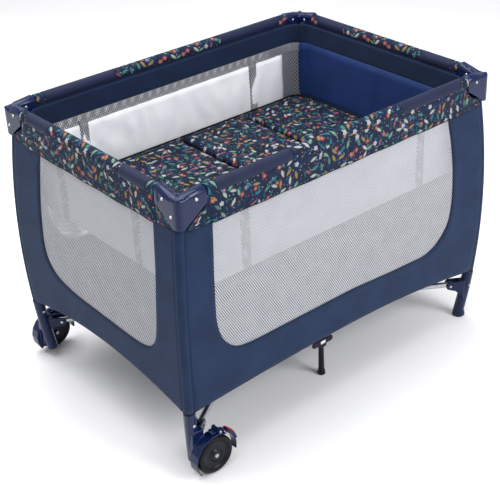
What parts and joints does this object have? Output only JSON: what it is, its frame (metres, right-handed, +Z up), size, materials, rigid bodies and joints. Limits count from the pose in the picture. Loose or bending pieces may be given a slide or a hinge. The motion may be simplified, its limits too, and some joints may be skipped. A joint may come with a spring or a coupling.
{
  "type": "travel play yard",
  "caption": "Folding travel play yard: bowed legs, centre-folding top rails, fabric and mesh sides, hanging bassinet, padded mattress and braked wheels at one end.",
  "frame": {"origin": "on the floor under the middle of the yard", "axes": "+X along the long sides away from the wheeled end, +Y from the front side to the back side, +Z up"},
  "size_m": [1.0541, 0.7698, 0.777],
  "materials": {
    "steel_tube": "satin bright tube",
    "navy_gloss": "glossy navy moulding",
    "navy_plastic": "satin navy moulding",
    "dark_plastic": "satin dark moulding",
    "tyre": "matt dark wheel",
    "navy_fabric": "woven navy fabric with mesh windows",
    "print_fabric": "flower print on a dark ground",
    "white_fabric": "white fabric and pale mesh",
    "strap": "red webbing"
  },
  "bodies": {
    "near_left_post": {"leg_tube_near_left": "steel_tube", "corner_cap_near_left": "navy_gloss", "wheel_bracket_near_left": "navy_gloss", "axle_near": "steel_tube", "brake_pin_near": "steel_tube", "side_panel_front": "navy_fabric", "side_panel_back": "navy_fabric", "side_panel_left": "navy_fabric", "side_panel_right": "navy_fabric", "rail_cover_front": "print_fabric", "rail_cover_back": "print_fabric", "rail_cover_left": "print_fabric", "rail_cover_right": "print_fabric", "floor_panel": "navy_fabric", "bassinet": "white_fabric"},
    "near_right_post": {"leg_tube_near_right": "steel_tube", "corner_cap_near_right": "navy_gloss", "corner_foot_near_right": "navy_plastic"},
    "far_right_post": {"leg_tube_far_right": "steel_tube", "corner_cap_far_right": "navy_gloss", "corner_foot_far_right": "navy_plastic"},
    "far_left_post": {"leg_tube_far_left": "steel_tube", "corner_cap_far_left": "navy_gloss", "wheel_bracket_far_left": "navy_gloss", "axle_far": "steel_tube", "brake_pin_far": "steel_tube"},
    "rail_front_left": {"rail_front_left": "steel_tube"},
    "latch_front": {"latch_front": "steel_tube"},
    "latch_button_front": {"latch_button_front": "dark_plastic"},
    "rail_front_right": {"rail_front_right": "steel_tube"},
    "rail_back_left": {"rail_back_left": "steel_tube"},
    "latch_back": {"latch_back": "steel_tube"},
    "latch_button_back": {"latch_button_back": "dark_plastic"},
    "rail_back_right": {"rail_back_right": "steel_tube"},
    "rail_left_near": {"rail_left_near": "steel_tube"},
    "latch_left": {"latch_left": "steel_tube"},
    "latch_button_left": {"latch_button_left": "dark_plastic"},
    "rail_left_far": {"rail_left_far": "steel_tube"},
    "rail_right_near": {"rail_right_near": "steel_tube"},
    "latch_right": {"latch_right": "steel_tube"},
    "latch_button_right": {"latch_button_right": "dark_plastic"},
    "rail_right_far": {"rail_right_far": "steel_tube"},
    "base_hub": {"base_hub": "navy_plastic", "pull_strap": "strap"},
    "base_tube_near_left": {"base_tube_near_left": "steel_tube"},
    "base_tube_near_right": {"base_tube_near_right": "steel_tube"},
    "base_tube_far_right": {"base_tube_far_right": "steel_tube"},
    "base_tube_far_left": {"base_tube_far_left": "steel_tube"},
    "mid_arm_front": {"mid_arm_front": "steel_tube"},
    "mid_foot_front": {"mid_foot_front": "dark_plastic"},
    "mid_arm_back": {"mid_arm_back": "steel_tube"},
    "mid_foot_back": {"mid_foot_back": "dark_plastic"},
    "mattress_pad_1": {"mattress_pad_1": "print_fabric"},
    "mattress_pad_2": {"mattress_pad_2": "print_fabric"},
    "mattress_pad_3": {"mattress_pad_3": "print_fabric"},
    "mattress_pad_4": {"mattress_pad_4": "print_fabric"},
    "wheel_near": {"wheel_near": "tyre"},
    "brake_lever_near": {"brake_lever_near": "navy_gloss"},
    "wheel_far": {"wheel_far": "tyre"},
    "brake_lever_far": {"brake_lever_far": "navy_gloss"}
  },
  "joints": [
    {"name": "fold", "type": "hinge", "parent": "near_left_post", "child": "rail_front_left", "pos_m": [-0.459, -0.353, 0.75], "axis": [0, 1, 0], "range_deg": [0, 84], "deforming": ["side_panel_front", "side_panel_back", "side_panel_left", "side_panel_right", "rail_cover_front", "rail_cover_back", "rail_cover_left", "rail_cover_right", "floor_panel", "bassinet", "mattress_pad_1", "mattress_pad_2", "mattress_pad_3", "mattress_pad_4"]},
    {"name": "rail_front_left_at_latch", "type": "hinge", "parent": "rail_front_left", "child": "latch_front", "pos_m": [-0.025, -0.353, 0.75], "axis": [0, -1, 0], "range_deg": [0, 84]},
    {"name": "rail_front_right_at_latch", "type": "hinge", "parent": "latch_front", "child": "rail_front_right", "pos_m": [0.025, -0.353, 0.75], "axis": [0, -1, 0], "range_deg": [0, 84]},
    {"name": "rail_front_right_at_post", "type": "hinge", "parent": "rail_front_right", "child": "near_right_post", "pos_m": [0.459, -0.353, 0.75], "axis": [0, 1, 0], "range_deg": [0, 84]},
    {"name": "rail_right_near_at_post", "type": "hinge", "parent": "near_right_post", "child": "rail_right_near", "pos_m": [0.496, -0.314, 0.75], "axis": [-1, 0, 0], "range_deg": [0, 84]},
    {"name": "rail_right_near_at_latch", "type": "hinge", "parent": "rail_right_near", "child": "latch_right", "pos_m": [0.496, -0.025, 0.75], "axis": [1, 0, 0], "range_deg": [0, 84]},
    {"name": "rail_right_far_at_latch", "type": "hinge", "parent": "latch_right", "child": "rail_right_far", "pos_m": [0.496, 0.025, 0.75], "axis": [1, 0, 0], "range_deg": [0, 84]},
    {"name": "rail_right_far_at_post", "type": "hinge", "parent": "rail_right_far", "child": "far_right_post", "pos_m": [0.496, 0.314, 0.75], "axis": [-1, 0, 0], "range_deg": [0, 84]},
    {"name": "rail_left_near_at_post", "type": "hinge", "parent": "near_left_post", "child": "rail_left_near", "pos_m": [-0.496, -0.314, 0.75], "axis": [-1, 0, 0], "range_deg": [0, 84]},
    {"name": "rail_left_near_at_latch", "type": "hinge", "parent": "rail_left_near", "child": "latch_left", "pos_m": [-0.496, -0.025, 0.75], "axis": [1, 0, 0], "range_deg": [0, 84]},
    {"name": "rail_left_far_at_latch", "type": "hinge", "parent": "latch_left", "child": "rail_left_far", "pos_m": [-0.496, 0.025, 0.75], "axis": [1, 0, 0], "range_deg": [0, 84]},
    {"name": "rail_left_far_at_post", "type": "hinge", "parent": "rail_left_far", "child": "far_left_post", "pos_m": [-0.496, 0.314, 0.75], "axis": [-1, 0, 0], "range_deg": [0, 84]},
    {"name": "rail_back_right_at_post", "type": "hinge", "parent": "far_right_post", "child": "rail_back_right", "pos_m": [0.459, 0.353, 0.75], "axis": [0, -1, 0], "range_deg": [0, 84]},
    {"name": "rail_back_right_at_latch", "type": "hinge", "parent": "rail_back_right", "child": "latch_back", "pos_m": [0.025, 0.353, 0.75], "axis": [0, 1, 0], "range_deg": [0, 84]},
    {"name": "rail_back_left_at_latch", "type": "hinge", "parent": "latch_back", "child": "rail_back_left", "pos_m": [-0.025, 0.353, 0.75], "axis": [0, 1, 0], "range_deg": [0, 84]},
    {"name": "base_tube_near_left_at_foot", "type": "hinge", "parent": "near_left_post", "child": "base_tube_near_left", "pos_m": [-0.459, -0.314, 0.111], "axis": [0.5543, -0.8323, 0], "range_deg": [0, 84]},
    {"name": "base_tube_near_left_at_hub", "type": "hinge", "parent": "base_tube_near_left", "child": "base_hub", "pos_m": [-0.025, -0.025, 0.111], "axis": [-0.5543, 0.8323, 0], "range_deg": [0, 84]},
    {"name": "base_tube_near_right_at_hub", "type": "hinge", "parent": "base_hub", "child": "base_tube_near_right", "pos_m": [0.025, -0.025, 0.111], "axis": [0.5543, 0.8323, 0], "range_deg": [0, 84]},
    {"name": "base_tube_far_right_at_hub", "type": "hinge", "parent": "base_hub", "child": "base_tube_far_right", "pos_m": [0.025, 0.025, 0.111], "axis": [-0.5543, 0.8323, 0], "range_deg": [0, 84]},
    {"name": "base_tube_far_left_at_hub", "type": "hinge", "parent": "base_hub", "child": "base_tube_far_left", "pos_m": [-0.025, 0.025, 0.111], "axis": [-0.5543, -0.8323, 0], "range_deg": [0, 84]},
    {"name": "mid_arm_front_at_hub", "type": "hinge", "parent": "base_hub", "child": "mid_arm_front", "pos_m": [0, -0.04, 0.111], "axis": [1, 0, 0], "range_deg": [0, 84]},
    {"name": "mid_foot_front_at_arm", "type": "hinge", "parent": "mid_arm_front", "child": "mid_foot_front", "pos_m": [0, -0.253, 0.111], "axis": [-1, 0, 0], "range_deg": [0, 84]},
    {"name": "mid_arm_back_at_hub", "type": "hinge", "parent": "base_hub", "child": "mid_arm_back", "pos_m": [0, 0.04, 0.111], "axis": [-1, 0, 0], "range_deg": [0, 84]},
    {"name": "mid_foot_back_at_arm", "type": "hinge", "parent": "mid_arm_back", "child": "mid_foot_back", "pos_m": [0, 0.253, 0.111], "axis": [1, 0, 0], "range_deg": [0, 84]},
    {"name": "mattress_lift", "type": "slide", "parent": "near_left_post", "child": "mattress_pad_1", "axis": [0, 0, 1], "range_m": [0, 0.31]},
    {"name": "mattress_seam_1", "type": "hinge", "parent": "mattress_pad_1", "child": "mattress_pad_2", "pos_m": [-0.235, 0, 0.5203], "axis": [0, -1, 0], "range_deg": [0, 168]},
    {"name": "mattress_seam_2", "type": "hinge", "parent": "mattress_pad_2", "child": "mattress_pad_3", "pos_m": [0, 0, 0.4997], "axis": [0, 1, 0], "range_deg": [0, 168]},
    {"name": "mattress_seam_3", "type": "hinge", "parent": "mattress_pad_3", "child": "mattress_pad_4", "pos_m": [0.235, 0, 0.5203], "axis": [0, -1, 0], "range_deg": [0, 168]},
    {"name": "wheel_near_spin", "type": "hinge", "parent": "near_left_post", "child": "wheel_near", "pos_m": [-0.462, -0.369, 0.0517], "axis": [0, 1, 0], "continuous": true},
    {"name": "brake_near_press", "type": "hinge", "parent": "near_left_post", "child": "brake_lever_near", "pos_m": [-0.44776, -0.369, 0.1187], "axis": [0, 1, 0], "range_deg": [0, 5]},
    {"name": "wheel_far_spin", "type": "hinge", "parent": "far_left_post", "child": "wheel_far", "pos_m": [-0.462, 0.369, 0.0517], "axis": [0, 1, 0], "continuous": true},
    {"name": "brake_far_press", "type": "hinge", "parent": "far_left_post", "child": "brake_lever_far", "pos_m": [-0.44776, 0.369, 0.1187], "axis": [0, 1, 0], "range_deg": [0, 5]},
    {"name": "latch_button_front_press", "type": "slide", "parent": "latch_front", "child": "latch_button_front", "axis": [0, 0, 1], "range_m": [0, 0.004], "stiffness_N_per_m": 400},
    {"name": "latch_button_back_press", "type": "slide", "parent": "latch_back", "child": "latch_button_back", "axis": [0, 0, 1], "range_m": [0, 0.004], "stiffness_N_per_m": 400},
    {"name": "latch_button_left_press", "type": "slide", "parent": "latch_left", "child": "latch_button_left", "axis": [0, 0, 1], "range_m": [0, 0.004], "stiffness_N_per_m": 400},
    {"name": "latch_button_right_press", "type": "slide", "parent": "latch_right", "child": "latch_button_right", "axis": [0, 0, 1], "range_m": [0, 0.004], "stiffness_N_per_m": 400}
  ],
  "couplings": [
    {"joint": "rail_front_left_at_latch", "follows": "fold", "ratio": 1},
    {"joint": "rail_front_right_at_latch", "follows": "fold", "ratio": 1},
    {"joint": "rail_front_right_at_post", "follows": "fold", "ratio": 1},
    {"joint": "rail_right_near_at_post", "follows": "fold", "ratio": 1},
    {"joint": "rail_right_near_at_latch", "follows": "fold", "ratio": 1},
    {"joint": "rail_right_far_at_latch", "follows": "fold", "ratio": 1},
    {"joint": "rail_right_far_at_post", "follows": "fold", "ratio": 1},
    {"joint": "rail_left_near_at_post", "follows": "fold", "ratio": 1},
    {"joint": "rail_left_near_at_latch", "follows": "fold", "ratio": 1},
    {"joint": "rail_left_far_at_latch", "follows": "fold", "ratio": 1},
    {"joint": "rail_left_far_at_post", "follows": "fold", "ratio": 1},
    {"joint": "rail_back_right_at_post", "follows": "fold", "ratio": 1},
    {"joint": "rail_back_right_at_latch", "follows": "fold", "ratio": 1},
    {"joint": "rail_back_left_at_latch", "follows": "fold", "ratio": 1},
    {"joint": "base_tube_near_left_at_foot", "follows": "fold", "ratio": 1},
    {"joint": "base_tube_near_left_at_hub", "follows": "fold", "ratio": 1},
    {"joint": "base_tube_near_right_at_hub", "follows": "fold", "ratio": 1},
    {"joint": "base_tube_far_right_at_hub", "follows": "fold", "ratio": 1},
    {"joint": "base_tube_far_left_at_hub", "follows": "fold", "ratio": 1},
    {"joint": "mid_arm_front_at_hub", "follows": "fold", "ratio": 1},
    {"joint": "mid_foot_front_at_arm", "follows": "fold", "ratio": 1},
    {"joint": "mid_arm_back_at_hub", "follows": "fold", "ratio": 1},
    {"joint": "mid_foot_back_at_arm", "follows": "fold", "ratio": 1},
    {"joint": "mattress_lift", "follows": "fold", "m_per_rad": 0.205},
    {"joint": "mattress_seam_1", "follows": "fold", "ratio": 2},
    {"joint": "mattress_seam_2", "follows": "fold", "ratio": 2},
    {"joint": "mattress_seam_3", "follows": "fold", "ratio": 2}
  ]
}
